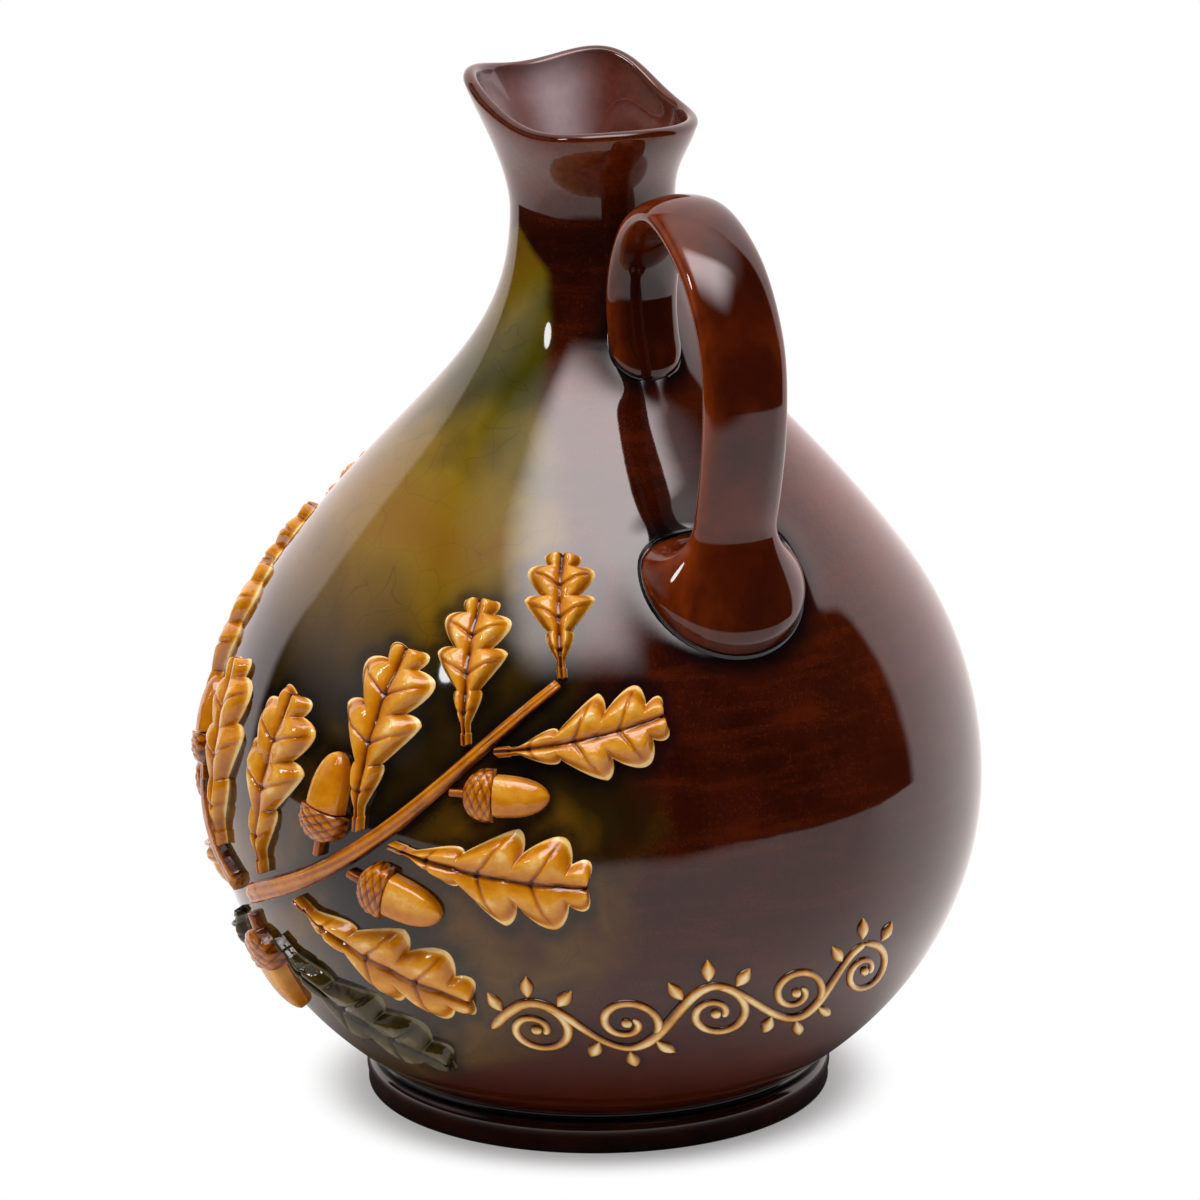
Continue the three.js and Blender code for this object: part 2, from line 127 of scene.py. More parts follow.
def pinch(rings):
    """Moves each point out and up by waves round the rim, one to four to the turn and sized as shares
    of the rim's radius, which grow from nothing at the neck's waist."""
    grown = smooth(rings[..., 2], neck_z, lip_z)
    angle = np.arctan2(rings[..., 1], rings[..., 0])
    out, up = (
        sum(share * lip_radius * np.cos((i + 1) * angle) for i, share in enumerate(cosine))
        + sum(share * lip_radius * np.sin((i + 1) * angle) for i, share in enumerate(sine))
        for cosine, sine in (lip_out, lip_up)
    )
    radius = np.hypot(rings[..., 0], rings[..., 1])
    scale = (radius + grown * out) / radius
    return np.stack((rings[..., 0] * scale, rings[..., 1] * scale, rings[..., 2] + grown * up), -1)


def piece(name, lofts, slot, material, nodes=(), loop=False, **values):
    """One mesh from grids of points [row, place round the ring]: each grid is closed round its rings
    and fanned to a middle point at both ends, or closed from its last row to its first if it is a
    loop. Values give each point's share of a named quantity for the material, one grid a loft."""
    points, quads, fans, shares = [], [], [], {key: [] for key in values}
    first = 0
    for number, rings in enumerate(lofts):
        rows, size = rings.shape[:2]
        spots = np.arange(rows * size).reshape(rows, size) + first
        if loop:
            spots = np.vstack((spots, spots[:1]))
        beside = np.roll(spots, -1, axis=1)
        quads.append(np.stack((spots[:-1], beside[:-1], beside[1:], spots[1:]), -1).reshape(-1, 4))
        points.append(rings.reshape(-1, 3))
        ends = () if loop else (0, -1)
        for end in ends:
            middle = first + rows * size + (0 if end == 0 else 1) + 0 * spots[0]
            pair = (beside[end], spots[end]) if end == 0 else (spots[end], beside[end])
            fans.append(np.stack((middle, *pair), -1))
            points.append(rings[end].mean(axis=0)[None])
        for key, grids in values.items():
            grid = np.broadcast_to(grids[number], rings.shape[:2])
            shares[key] += [grid.reshape(-1)] + [grid[end].mean()[None] for end in ends]
        first += rows * size + len(ends)
    points = np.vstack(points)
    faces = np.vstack(quads).tolist() + [face for fan in fans for face in fan.tolist()]
    mesh = bpy.data.meshes.new(name)
    mesh.from_pydata(points.tolist(), [], faces)
    for key, grids in shares.items():
        attribute = mesh.attributes.new(key, "FLOAT", "POINT")
        attribute.data.foreach_set("value", np.concatenate(grids).astype(np.float32))
    mesh.materials.append(material)
    mesh.shade_smooth()
    made = bpy.data.objects.new(name, mesh)
    bpy.context.scene.collection.objects.link(made)
    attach(made, "root")
    if nodes:
        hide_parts(*nodes)
    return made


def linear(colour):
    """An sRGB hex colour as linear light with full alpha."""
    share = np.array([int(colour[i : i + 2], 16) for i in (1, 3, 5)]) / 255
    light = np.where(share <= 0.04045, share / 12.92, ((share + 0.055) / 1.055) ** 2.4)
    return (*light.tolist(), 1.0)


def add(tree, kind, inputs=(), stops=(), **settings):
    """Adds a node with its settings. Inputs gives values, sockets, or nodes whose first output in use
    is linked, by name or number: a Mix blends 6 into 7 by 0, and a Map Range carries 0 from the range
    of 1 and 2 to that of 3 and 4. Stops gives places and colours along a ramp."""
    made = tree.nodes.new("ShaderNode" + kind)
    for key, value in settings.items():
        setattr(made, key, value)
    for key, value in dict(inputs).items():
        if isinstance(value, bpy.types.Node):
            value = next(output for output in value.outputs if output.enabled)
        if isinstance(value, bpy.types.NodeSocket):
            tree.links.new(value, made.inputs[key])
        else:
            made.inputs[key].default_value = value
    for number, (position, colour) in enumerate(stops):
        elements = made.color_ramp.elements
        stop = elements[number] if number < 2 else elements.new(position)
        stop.position, stop.color = position, linear(colour)
    return made


def new_material(name):
    """An empty node material, its tree, and the place on the object that its patterns read."""
    material = bpy.data.materials.new(name)
    material.use_nodes = True
    tree = material.node_tree
    tree.nodes.clear()
    return material, tree, add(tree, "TexCoord").outputs["Object"]


# Lead glaze over iron-brown slip: dark red-brown and glassy, IOR about 1.55, mottled in patches of 24 mm
# with throwing lines 2.4 mm apart and specks of 0.5 mm. It is amber where it ran thin, worn in spots of
# 1.6 mm, and blue-black where it pooled; on the flank beside the handle the amber is painted light. An
# olive slip, brushed on in strokes of 20 mm and blotched in patches of 33 mm, shows through it behind the
# spray, painted lighter and golden high on the left as painted light. The crazing is faint, in cells of
# 8 mm. The glaze swells softly over 30 mm and 5 mm. In the throat its shine is softer, and a pale veil on
# two sides of it is a painted reflection.
glaze_ior, pooled_glaze = 1.55, "#05060a"
eased = {"interpolation_type": "SMOOTHSTEP"}
body_glaze, tree, here = new_material("treacle_glaze_over_olive_slip")
thin, pool, ground, haze = (add(tree, "Attribute", attribute_name=name).outputs["Fac"]
                            for name in ("thin", "pool", "ground", "haze"))
mottle, specks, brush, worn, wander, peel, swell = (
    add(tree, "TexNoise", {0: here, "Scale": scale, "Detail": detail, "Roughness": rough})
    for scale, detail, rough in ((42, 5, 0.62), (1900, 1, 0.5), (48, 4, 0.5), (620, 4, 0.65), (60, 2, 0.5),
                                 (190, 2, 0.5), (34, 1, 0.5))
)
treacle = add(tree, "ValToRGB", {0: mottle}, stops=(
    (0.30, "#150301"), (0.50, "#250702"), (0.72, "#401204")))
flattened = add(tree, "Mapping", {0: here, "Scale": (0.12, 0.12, 1)})
thrown = add(tree, "TexNoise", {0: flattened, "Scale": 420, "Detail": 3})
_, sideways, height = add(tree, "SeparateXYZ", {0: here}).outputs
for source, start, end, least, most, shade in (
    (thrown, 0.5, 0.8, 0.0, 0.2, "#7a2e0a"),
    (specks, 0.54, 0.80, 0.0, 0.11, "#863c12"),
    (height, 0.005, 0.08, 0.55, 0.0, "#561c07"),
):
    share = add(tree, "MapRange", {0: source, 1: start, 2: end, 3: least, 4: most})
    treacle = add(tree, "Mix", {0: share, 6: treacle, 7: linear(shade)}, data_type="RGBA")
blotch = add(tree, "TexNoise", {0: here, "Scale": 30, "Detail": 3, "Roughness": 0.55, "Distortion": 0.3})
deep_slip = add(tree, "ValToRGB", {0: blotch}, stops=(
    (0.34, "#120b02"), (0.48, "#261a04"), (0.60, "#583c08"), (0.72, "#3c1904")))
pale_slip = add(tree, "ValToRGB", {0: blotch}, stops=(
    (0.32, "#262404"), (0.45, "#443e07"), (0.57, "#6c5a0b"), (0.70, "#6c450a")))
high = add(tree, "MapRange", {0: height, 1: 0.085, 2: 0.125}, **eased)
slip = add(tree, "Mix", {0: high, 6: deep_slip, 7: pale_slip}, data_type="RGBA")
# Painted light: high on the left side, where the hazy light at the left falls, the slip is painted lighter
# and golden
painted_light_left = add(tree, "MapRange", {0: sideways, 1: -0.025, 2: -0.066, 3: 0.0, 4: 0.8})
painted_light_left = add(tree, "Math", {0: painted_light_left, 1: high}, operation="MULTIPLY")
slip = add(tree, "Mix", {0: painted_light_left, 6: slip, 7: linear("#a8771c")}, data_type="RGBA")
edge = add(tree, "Math", {0: brush, 1: 0.9, 2: ground}, operation="MULTIPLY_ADD")
painted = add(tree, "MapRange", {0: edge, 1: 0.75, 2: 1.2}, **eased)
colour = add(tree, "Mix", {0: painted, 6: treacle, 7: slip}, data_type="RGBA")
worn = add(tree, "MapRange", {0: worn, 1: 0.35, 2: 0.65, 3: 0.7, 4: 1.25})
amber = add(tree, "Math", {0: worn, 1: thin}, operation="MULTIPLY", use_clamp=True)
strayed = add(tree, "Mix", {0: 0.012, 4: here, 5: wander.outputs["Color"]}, data_type="VECTOR")
cells = add(tree, "TexVoronoi", {0: strayed, "Scale": 130}, feature="DISTANCE_TO_EDGE")
crazing = add(tree, "MapRange", {0: cells, 1: 0.0, 2: 0.014, 3: 0.28, 4: 0.0})
# Painted reflection: a pale veil where the haze attribute is high, standing for the light above mirrored
# in the throat
painted_veil_reflection = add(tree, "Math", {0: mottle, 1: haze}, operation="MULTIPLY")
for share, shade in ((amber, "#7a2f0c"), (pool, pooled_glaze), (crazing, "#120402"), (painted_veil_reflection, "#d0c0c6")):
    colour = add(tree, "Mix", {0: share, 6: colour, 7: linear(shade)}, data_type="RGBA")
soft = add(tree, "Bump", {"Height": swell, "Distance": 0.0009, "Strength": 0.4})
glassy = add(tree, "Bump", {"Height": peel, "Distance": 0.00004, "Strength": 0.3, "Normal": soft})
dullness = add(tree, "MapRange", {0: haze, 1: 0.0, 2: 0.85, 3: 0.05, 4: 0.25}, **eased)
shader = add(tree, "BsdfPrincipled", {"Base Color": colour, "Roughness": dullness, "IOR": glaze_ior,
                                      "Normal": glassy})
add(tree, "OutputMaterial", {0: shader})

body_steps = 330
body_rings = pinch(turned(body_profile, body_steps))
outer = len(under) + len(outline) + len(flare)
row = np.arange(len(body_profile))
outside = row < outer
from_rim = row - outer - len(rim) / 2
row_height = body_profile[:, 1]
angle_deg = np.degrees(np.arctan2(body_rings[..., 1], body_rings[..., 0]))
# The olive ground's half width in degrees by height in mm, and its edge, which fades over 24 degrees
half_width = np.interp(row_height / mm, (12, 24, 45, 70, 95, 120, 140, 155, 163),
                       (22, 52, 66, 69, 64, 54, 44, 36, 0))
ground_share = (half_width[:, None] - np.abs((angle_deg + 270) % 360 - 180)) / 24 + 0.5
ground_share = np.where(outside[:, None], np.clip(ground_share, 0, 1), 0)
# Glaze ran thin over the rim, up the neck and in the throat; on the flank beside the handle, where light
# from the right and above falls, the amber is painted light
rim_rows = np.clip(1.15 - np.abs(from_rim) / 7, 0, 1)
throat_rows = np.clip(from_rim / 9, 0, 1) * (row < outer + len(rim) + 60)
neck_rows = smooth(row_height, 160 * mm, 176 * mm) * outside
painted_flank_light = bell(angle_deg - 66, 40) * bell(row_height - 118 * mm, 42 * mm)[:, None]
thin_rows = np.maximum.reduce((rim_rows * 0.25, throat_rows * 0.45, 0.55 * neck_rows))
thin_share = np.maximum(thin_rows[:, None], 0.75 * painted_flank_light * outside[:, None])
# A pale veil of painted reflection lies on two sides of the throat, and glaze pooled in the cove over the
# foot ring
painted_veil_share = throat_rows[:, None] * (0.04 + sum(
    0.9 * bell((angle_deg + 360) % 360 - middle, width) for middle, width in ((178, 21), (240, 22))))
seat_pool = 0.85 * bell(row_height - 6.2 * mm, 1.4 * mm) * outside
body = piece("flask_body", [body_rings], "treacle_glaze", body_glaze, ["flask_body"],
             thin=[thin_share], ground=[ground_share], pool=[seat_pool[:, None]], haze=[painted_veil_share])
body_points = body_rings.reshape(-1, 3)
pooled = np.repeat(seat_pool, body_steps)


def pool_near(points, reach, strength):
    """Thickens the glaze on the body near points, by a bell of their distance."""
    low_corner, high_corner = points.min(axis=0) - 2.5 * reach, points.max(axis=0) + 2.5 * reach
    near = np.flatnonzero(np.all((body_points > low_corner) & (body_points < high_corner), axis=1))
    gap = np.sqrt(((body_points[near][:, None] - points[None]) ** 2).sum(-1).min(axis=1))
    pooled[near] = np.maximum(pooled[near], strength * bell(gap, reach))


# FOOT RING. A low stoneware ring luted under the belly. Only its resting edge was wiped, the band and
# the bead above it are glazed, and the glaze pooled black in the cove where the ring meets the belly.
foot_radius, foot_width, foot_straight, seat_lift = 42.6 * mm, 5.6 * mm, 2.6 * mm, 0.15 * mm
foot_bore = foot_radius - foot_width


def belly_under(radius):
    """Height of the belly's underside at a radius, on its lower quarter ellipse."""
    return belly_z - belly_depth * np.sqrt(1 - (radius / belly_radius) ** 2)


seat_radii = np.linspace(41.0 * mm, foot_bore, 12)
foot_seat = np.column_stack((seat_radii, np.maximum(belly_under(seat_radii), seat_z) + seat_lift))
inner_edge = bezier(((foot_bore, 3 * mm), (foot_bore, 0.3 * mm), (foot_bore + 0.1 * mm, 0),
                     (foot_bore + 0.9 * mm, 0)), 8)
outer_edge = bezier(((foot_radius - 0.9 * mm, 0), (foot_radius - 0.2 * mm, 0), (foot_radius, 0.3 * mm),
                     (foot_radius, 0.9 * mm)), 8)
bead = bezier(((foot_radius - 0.1 * mm, foot_straight), (42.95 * mm, 2.9 * mm), (43.0 * mm, 4.9 * mm),
               (42.3 * mm, 5.7 * mm)), 16)
cove = bezier(((42.2 * mm, 5.8 * mm), (41.6 * mm, 6.2 * mm), (40.9 * mm, 6.0 * mm),
               (40.9 * mm, 6.9 * mm)), 10)
foot_profile = np.vstack((inner_edge, outer_edge, bead, cove, foot_seat))

# The glaze stops in a ragged line about 1 mm above the resting edge, under which bare dark clay looks dry
foot_glaze, tree, here = new_material("treacle_glaze_with_wiped_edge")
height = add(tree, "SeparateXYZ", {0: here}).outputs["Z"]
ragged = add(tree, "TexNoise", {0: here, "Scale": 160, "Detail": 3})
level = add(tree, "Math", {0: ragged, 1: -0.0008, 2: height}, operation="MULTIPLY_ADD")
glazed = add(tree, "MapRange", {0: level, 1: 0.0001, 2: 0.0006})
wiped = add(tree, "ValToRGB", {0: ragged}, stops=((0.3, "#160b08"), (0.7, "#2b1711")))
coat = add(tree, "ValToRGB", {0: ragged}, stops=((0.3, "#1c0502"), (0.7, "#3c1005")))
colour = add(tree, "Mix", {0: glazed, 6: wiped, 7: coat}, data_type="RGBA")
in_cove = add(tree, "MapRange", {0: height, 1: 0.0052, 2: 0.0062, 3: 0.0, 4: 0.95})
colour = add(tree, "Mix", {0: in_cove, 6: colour, 7: linear(pooled_glaze)}, data_type="RGBA")
dullness = add(tree, "MapRange", {0: glazed, 1: 0.0, 2: 1.0, 3: 0.5, 4: 0.06})
shader = add(tree, "BsdfPrincipled", {"Base Color": colour, "Roughness": dullness, "IOR": glaze_ior})
add(tree, "OutputMaterial", {0: shader})
piece("foot_ring", [turned(foot_profile, 300)], "treacle_glaze", foot_glaze, ["foot_ring"], loop=True)


# HANDLE. A pulled strap of oval section, luted on after throwing: a rounded thumbed end lies on the
# neck, the strap arches over and swells into a round pad on the shoulder. Glaze ran thin and amber
# along its edges, and pooled blue-black in the joints, which carry a small concave fillet of it.
reach, arch_z, arm_z = 59 * mm, 169.3 * mm, 141 * mm
pad_z, root_z = 107.7 * mm, 137 * mm
strap_width, strap_thickness, strap_root, strap_gap = 16 * mm, 6.6 * mm, 13.5 * mm, 2 * mm
pad_width, pad_height, pad_depth, pad_flare = 30 * mm, 31 * mm, 13 * mm, 13 * mm


def wall_radius(z):
    """Radius of the outside at a height, read along the outline."""
    return np.interp(z, outline[:, 1], outline[:, 0])


def spline(knots, steps):
    """A curve through knots whose parameter grows by the square root of each chord, each piece a
    cubic that leaves and enters its knots along the tangents of the parabolas through three knots."""
    knots = np.vstack((2 * knots[0] - knots[1], knots, 2 * knots[-1] - knots[-2]))
    span = np.maximum(np.linalg.norm(np.diff(knots, axis=0), axis=1) ** 0.5, 1e-9)[:, None]
    a, b, c, d = knots[:-3], knots[1:-2], knots[2:-1], knots[3:]
    x, y, z = span[:-2], span[1:-1], span[2:]
    leave = y * ((b - a) / x - (c - a) / (x + y) + (c - b) / y)
    enter = y * ((c - b) / y - (d - b) / (y + z) + (d - c) / z)
    t = np.linspace(0, 1, steps, endpoint=False)[:, None, None]
    curve = b + leave * t + (3 * (c - b) - 2 * leave - enter) * t**2 + (2 * (b - c) + leave + enter) * t**3
    return np.vstack((curve.transpose(1, 0, 2).reshape(-1, 2), knots[-2]))


def lengths_along(points):
    """The length along a line at each of its points: the running sum of its steps, from nothing."""
    return np.concatenate(([0], np.cumsum(np.linalg.norm(np.diff(points, axis=0), axis=1))))


def between(low, high, *shares):
    """Values at shares of the way from low to high."""
    return low + (high - low) * np.array(shares)


rise = neck_radius + strap_gap + strap_thickness / 2
pad_radius = wall_radius(pad_z)
heights = np.concatenate((
    between(root_z, arch_z, 0, 0.25, 0.56, 0.89, 1),
    between(arch_z, arm_z, 0.23, 0.66, 1.1),
    between(arm_z, pad_z, 0.57, 0.85, 1.1, 1.27),
))
knots = np.column_stack((np.concatenate((
    wall_radius(heights[:2]) + strap_thickness * np.array((-0.09, 0.15)),
    (rise - 0.03 * strap_thickness,),
    between(rise, reach, 0.16, 0.42, 0.76, 0.965, 1),
    (reach - 0.4 * strap_thickness,),
    pad_radius + strap_thickness * np.array((0.36, -0.53, -1.5)),
)), heights))
strap_line = spline(knots, 40)
strap_runs = lengths_along(strap_line)
total = strap_runs[-1]
pad_run = total - pad_depth
run = np.concatenate((
    np.linspace(0, 1, 16, endpoint=False) ** 2 * strap_root / 2,
    np.linspace(strap_root / 2, pad_run - pad_flare, 96, endpoint=False),
    np.linspace(pad_run - pad_flare, total, 60),
))


def on_strap(run):
    """Points of the strap's middle line at lengths along it."""
    return np.column_stack([np.interp(run, strap_runs, strap_line[:, i]) for i in (0, 1)])


centre = on_strap(run)
ahead = unit(on_strap(run + 0.3 * mm) - on_strap(run - 0.3 * mm))
tip = np.sqrt(1 - (1 - np.minimum(1, run / (strap_root / 2) + 0.03)) ** 2)
spread = smooth(run, pad_run - pad_flare, pad_run) ** 1.6
bulge = smooth(run, pad_run - 0.7 * pad_flare, pad_run + 0.08 * pad_flare) ** 1.6
strap = strap_root + (strap_width - strap_root) * smooth(run, 0.17 * reach, reach)
half_across = tip * (strap + (pad_width - strap) * spread) / 2
half_inner = tip * (strap_thickness + (pad_height - strap_thickness) * spread) / 2
half_outer = tip * (strap_thickness + (pad_height - strap_thickness) * bulge) / 2
side = np.linspace(0, 2 * np.pi, 72, endpoint=False)
thick = np.where(np.cos(side) > 0, half_outer[:, None], half_inner[:, None]) * np.cos(side)
handle_rings = np.stack((
    centre[:, :1] + ahead[:, 1:] * thick,
    half_across[:, None] * np.sin(side),
    centre[:, 1:] - ahead[:, :1] * thick,
), -1)


def steepness(z):
    """How fast the outside's radius grows with height."""
    return np.interp(z, outline[:, 1], np.gradient(outline[:, 0], outline[:, 1]))


def depth_in_wall(points):
    """How far points lie inside the body's outside, measured across its slope."""
    gap = wall_radius(points[..., 2]) - np.hypot(points[..., 0], points[..., 1])
    return gap / np.hypot(1, steepness(points[..., 2]))


def keep_in_wall(points, depth):
    """Draws points that lie deeper in the wall out along their radius until they are that deep."""
    radius = np.hypot(points[..., 0], points[..., 1])
    least = wall_radius(points[..., 2]) - depth * np.hypot(1, steepness(points[..., 2]))
    scale = np.maximum(1, least / np.maximum(radius, 1e-6))[..., None]
    return points * np.concatenate((scale, scale, np.ones_like(scale)), -1)


buried = depth_in_wall(handle_rings)
handle_rings = keep_in_wall(handle_rings, 1.2 * mm)
edge_share = np.abs(np.sin(side)) ** 6 * (0.85 - 0.5 * spread[:, None])
joint_share = bell(np.minimum(buried, 0), 0.8 * mm)
joint_share[(run > 22 * mm) & (run < pad_run - 1.2 * pad_flare)] = 0

# The same glaze with streaks 3 mm wide along the strap, amber on its edges and glassy throughout
strap_glaze, tree, here = new_material("treacle_glaze_on_strap")
stretched = add(tree, "Mapping", {0: here, "Scale": (1, 1, 0.3)})
streak = add(tree, "TexNoise", {0: stretched, "Scale": 330, "Detail": 4, "Roughness": 0.6})
mottle = add(tree, "TexNoise", {0: here, "Scale": 60, "Detail": 4})
treacle = add(tree, "ValToRGB", {0: mottle}, stops=(
    (0.30, "#260802"), (0.50, "#3c1003"), (0.72, "#602307")))
thin, pool = (add(tree, "Attribute", attribute_name=name).outputs["Fac"] for name in ("thin", "pool"))
streaked = add(tree, "Math", {0: streak, 1: 1.6, 2: -0.35}, operation="MULTIPLY_ADD")
amber = add(tree, "Math", {0: thin, 1: streaked}, operation="MULTIPLY", use_clamp=True)
colour = treacle
for share, shade in ((amber, "#9a3f0c"), (pool, pooled_glaze)):
    colour = add(tree, "Mix", {0: share, 6: colour, 7: linear(shade)}, data_type="RGBA")
swell = add(tree, "TexNoise", {0: here, "Scale": 60, "Detail": 1})
soft = add(tree, "Bump", {"Height": swell, "Distance": 0.0006, "Strength": 0.4})
shader = add(tree, "BsdfPrincipled", {"Base Color": colour, "Roughness": 0.05, "IOR": glaze_ior,
                                      "Normal": soft})
add(tree, "OutputMaterial", {0: shader})
on_pad = smooth(run, pad_run - 0.8 * pad_flare, pad_run)
pad_share = on_pad[:, None] * (0.1 + 0.4 * (np.sin(side) < 0) * np.abs(np.sin(side)))
piece("handle", [handle_rings], "treacle_glaze", strap_glaze, ["handle"],
      thin=[np.maximum(edge_share, pad_share)], pool=[joint_share])


def contact(rings, sunk):
    """Where each row's or column's skin passes through the wall: on each line the first crossing of
    depth zero, as the share of the step between two points, with the directions along the skin."""
    crossing = (sunk[:-1] <= 0) & (sunk[1:] > 0)
    found = crossing.argmax(axis=0)
    lines = np.flatnonzero(crossing.any(axis=0))
    i = found[lines]
    share = (sunk[i, lines] / (sunk[i, lines] - sunk[i + 1, lines]))[:, None]
    spot = rings[i, lines] + (rings[i + 1, lines] - rings[i, lines]) * share
    return lines, spot, unit(rings[np.maximum(i - 3, 0), lines] - spot)


def wall_normal(points):
    """The body's outward normal: across the outline's slope, turned to the point's angle."""
    return unit(unit(points * (1, 1, 0)) - steepness(points[:, 2])[:, None] * (0, 0, 1))


def fillet(spot, up_skin, width, raised):
    """Rings of a small concave fillet: a parabola from the raised wall to the skin above, whose
    control is the line where they meet, closed by a point sunk under that line."""
    normal = wall_normal(spot)
    spot = spot + normal * raised
    away = np.cross(unit(np.gradient(spot, axis=0)), normal)
    outwards = spot - spot.mean(axis=0)
    away *= np.sign((away * outwards).sum(1))[:, None]
    width = np.broadcast_to(width, len(spot))[:, None]
    foot = spot + away * width
    foot += normal * (depth_in_wall(foot) + 0.85 * raised - 0.05 * mm)[:, None]
    top = spot + up_skin * width * 0.9
    t = np.linspace(0, 1, 9)[:, None, None]
    face = foot * (1 - t) ** 2 + 2 * spot * t * (1 - t) + top * t**2
    under = spot - normal * (0.9 * mm + raised)
    return np.vstack((face, under[None])).transpose(1, 0, 2)


def swell_near(points, reach, height):
    """Raises the body's skin round a joint by a bell of its distance, as the slip that luted it on did."""
    chosen = np.flatnonzero(np.linalg.norm(body_points - points.mean(axis=0), axis=1)
                            < np.ptp(points, axis=0).max() / 2 + 3 * reach)
    chosen = chosen[chosen // body_steps < outer]
    apart = np.linalg.norm(body_points[chosen, None] - points[None], axis=2).min(axis=1)
    moved_points = np.empty(3 * len(body.data.vertices), np.float32)
    body.data.vertices.foreach_get("co", moved_points)
    moved_points = moved_points.reshape(-1, 3)
    moved_points[chosen] = body_points[chosen] + wall_normal(body_points[chosen]) * np.maximum(
        np.linalg.norm(moved_points[chosen] - body_points[chosen], axis=1),
        height * bell(apart, reach))[:, None]
    body.data.vertices.foreach_set("co", moved_points.ravel())
    body.data.update()


# Thick glaze, so dark that it looks blue-black and shows only by its shine
joint_width = 0.9 * mm
joint_glaze, tree, here = new_material("pooled_blue_black_glaze")
mottle = add(tree, "TexNoise", {0: here, "Scale": 260, "Detail": 2})
colour = add(tree, "ValToRGB", {0: mottle}, stops=((0.35, "#030406"), (0.7, "#0e1219")))
shader = add(tree, "BsdfPrincipled", {"Base Color": colour, "Roughness": 0.07, "IOR": glaze_ior})
add(tree, "OutputMaterial", {0: shader})
low_rows = run > pad_run - 1.3 * pad_flare
_, low_joint, low_up = contact(handle_rings[low_rows], buried[low_rows])
piece("joint_glaze_on_shoulder", [fillet(low_joint, low_up, joint_width, 0.7 * mm)], "treacle_glaze",
      joint_glaze, loop=True)
pool_near(low_joint, 3.2 * mm, 0.92)
swell_near(low_joint, 4.5 * mm, 0.8 * mm)
high_rows = (run > 0.3 * mm) & (run < 26 * mm)
for hand in (1, -1):
    half_round = np.flatnonzero(hand * np.sin(side) >= -1e-9)
    order = half_round[np.argsort(-np.cos(side[half_round]))]
    grid = handle_rings[high_rows][:, order].transpose(1, 0, 2)
    lines, high_joint, high_up = contact(grid, buried[high_rows][:, order].T)
    taper = joint_width * np.clip(np.linspace(1.6, 0, len(lines)) * 2, 0.05, 1)
    rings = fillet(high_joint, high_up, taper, 0.5 * mm)
    piece(f"joint_glaze_on_neck_{'left' if hand > 0 else 'right'}", [rings if hand > 0 else rings[::-1]],
          "treacle_glaze", joint_glaze)
    pool_near(high_joint, 2.8 * mm, 0.92)
    swell_near(high_joint, 3.5 * mm, 0.5 * mm)


# OAK SPRAY. Leaves, acorns and stems of golden clay, pressed in sprig moulds, stuck on with slip and
# tooled at the edges, so they stand 2 to 3 mm proud with furrowed veins. The glaze is thin and pale
# yellow on their edges, orange on their faces, and brown where it ran into the furrows.
stem_width, stem_taper, stem_rise, stem_edge, bark_depth = 4.2 * mm, 0.45, 1.8 * mm, 0.5 * mm, 0.12 * mm
leaf_rise, leaf_edge, leaf_stalk, leaf_sweep, leaf_lobes = 2.6 * mm, 0.4 * mm, 2 * mm, 0.55, 3.5
acorn_edge, stalk_rise, cup_rise, scale_depth = 0.7 * mm, 1.3 * mm, 3.6 * mm, 0.22 * mm
nut_rise, nut_tip, cup_share, nut_share = 3 * mm, 0.6 * mm, 0.62, 0.75
sprig_gap, clearance = 1 * mm, 0.3 * mm
skirt, edge_depth, back_depth = 0.25 * mm, 0.15 * mm, 0.9 * mm
wall_lengths = lengths_along(outline)
wall_along = unit(np.gradient(outline, axis=0))


def on_wall(angle, length, lift):
    """Points at an angle round the axis and a length up the outline, lifted along the normal."""
    radius, height = (np.interp(length, wall_lengths, outline[:, i]) for i in (0, 1))
    east, north = (np.interp(length, wall_lengths, wall_along[:, i]) for i in (0, 1))
    radius = radius + lift * north
    return np.stack((radius * np.cos(angle), radius * np.sin(angle), height - lift * east), -1)


def place(degrees, z, heading):
    """A spot on the wall: its angle, its length up the outline, and its heading from due east."""
    return np.radians(degrees), np.interp(z, outline[:, 1], wall_lengths), np.radians(heading)


def moved(spot, ahead, left, turned_by=0.0):
    """The spot reached by going ahead and to the left of a spot's heading along the wall, then turned."""
    angle, length, heading = spot
    length = length + ahead * np.sin(heading) + left * np.cos(heading)
    east = ahead * np.cos(heading) - left * np.sin(heading)
    return (angle + east / np.interp(length, wall_lengths, outline[:, 0]), length,
            heading + np.radians(turned_by))


def across(count):
    """Places from edge to edge, 1 to -1: the sines of even angles, so they crowd at both edges."""
    return np.sin(np.linspace(np.pi / 2, -np.pi / 2, count))


def dome(t):
    """The height of a quarter circle at a share of its width."""
    return np.sqrt(np.clip(1 - t * t, 0, 1))


